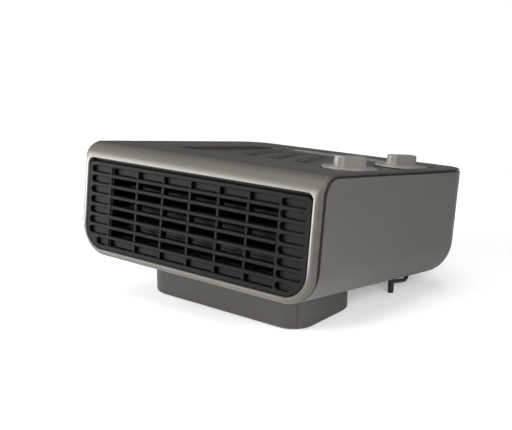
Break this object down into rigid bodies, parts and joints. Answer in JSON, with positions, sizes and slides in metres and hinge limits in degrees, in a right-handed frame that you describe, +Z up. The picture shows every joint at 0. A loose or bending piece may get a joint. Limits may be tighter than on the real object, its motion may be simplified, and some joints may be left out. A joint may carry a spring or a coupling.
{
  "type": "ceramic space heater",
  "caption": "Low box-shaped ceramic fan heater leaning back on a plinth, with a louvred outlet grille in front and rotary knobs on top.",
  "frame": {"origin": "on the table under the middle of the heater's overall box", "axes": "+Z up, -Y the way the warm air leaves, +X towards the knobs"},
  "size_m": [0.25, 0.2484, 0.1359],
  "materials": {
    "case_paint": "satin metallic",
    "grille_plastic": "satin",
    "dark_plastic": "matte",
    "knob_plastic": "satin",
    "rubber": "matte",
    "white_plastic": "satin",
    "heater_plastic": "matte",
    "ptc_ceramic": "matte",
    "fin_aluminium": "satin",
    "zinc_steel": "zinc plated",
    "lamination_steel": "oiled",
    "copper": "enamelled wire",
    "brass": "plain",
    "wire_sleeve": "silicone sleeve"
  },
  "bodies": {
    "case": {"front_top_housing": "case_paint", "lower_housing": "case_paint", "plinth": "case_paint", "rear_foot_left": "dark_plastic", "rear_foot_right": "dark_plastic", "cord_hook_left": "dark_plastic", "cord_hook_right": "dark_plastic", "outlet_grille": "grille_plastic", "rear_intake_grille": "grille_plastic", "plinth_base_plate": "dark_plastic", "rubber_pads": "rubber", "rotary_switch_body": "white_plastic", "thermostat_body": "dark_plastic", "control_bracket": "zinc_steel", "heater_frame": "heater_plastic", "ptc_stones": "ptc_ceramic", "electrode_strips": "fin_aluminium", "heating_fins": "fin_aluminium", "thermal_cutout": "dark_plastic", "thermal_fuse": "zinc_steel", "fuse_clip": "zinc_steel", "fan_housing": "heater_plastic", "fan_housing_cover": "heater_plastic", "air_duct": "heater_plastic", "motor_laminations": "lamination_steel", "motor_coil": "copper", "motor_bracket_lower": "zinc_steel", "motor_bracket_upper": "zinc_steel", "motor_bearings": "brass", "cord_grommet": "rubber", "cord_clamp": "white_plastic", "terminal_block": "white_plastic", "terminal_screws": "brass", "housing_screws": "zinc_steel", "plinth_screws": "zinc_steel", "clamp_screws": "zinc_steel", "fan_housing_screws": "zinc_steel", "motor_screws": "zinc_steel", "bracket_screws": "zinc_steel", "lead_wires": "wire_sleeve"},
    "power_dial": {"power_knob": "knob_plastic", "rotary_switch_spindle": "white_plastic"},
    "thermostat_dial": {"thermostat_knob": "knob_plastic", "thermostat_spindle": "zinc_steel"},
    "fan": {"impeller": "dark_plastic", "motor_shaft": "zinc_steel", "motor_rotor": "lamination_steel", "impeller_clip": "zinc_steel"}
  },
  "joints": [
    {"name": "power_turn", "type": "hinge", "parent": "case", "child": "power_dial", "pos_m": [0.088, -0.02127, 0.12328], "axis": [0, 0.1276, 0.9918], "range_deg": [-135, 0]},
    {"name": "thermostat_turn", "type": "hinge", "parent": "case", "child": "thermostat_dial", "pos_m": [0.088, 0.06204, 0.11257], "axis": [0, 0.1276, 0.9918], "range_deg": [-270, 0]},
    {"name": "fan_spin", "type": "hinge", "parent": "case", "child": "fan", "pos_m": [-0.01, 0.02288, 0.06679], "axis": [0, 0.1276, 0.9918], "continuous": true}
  ]
}
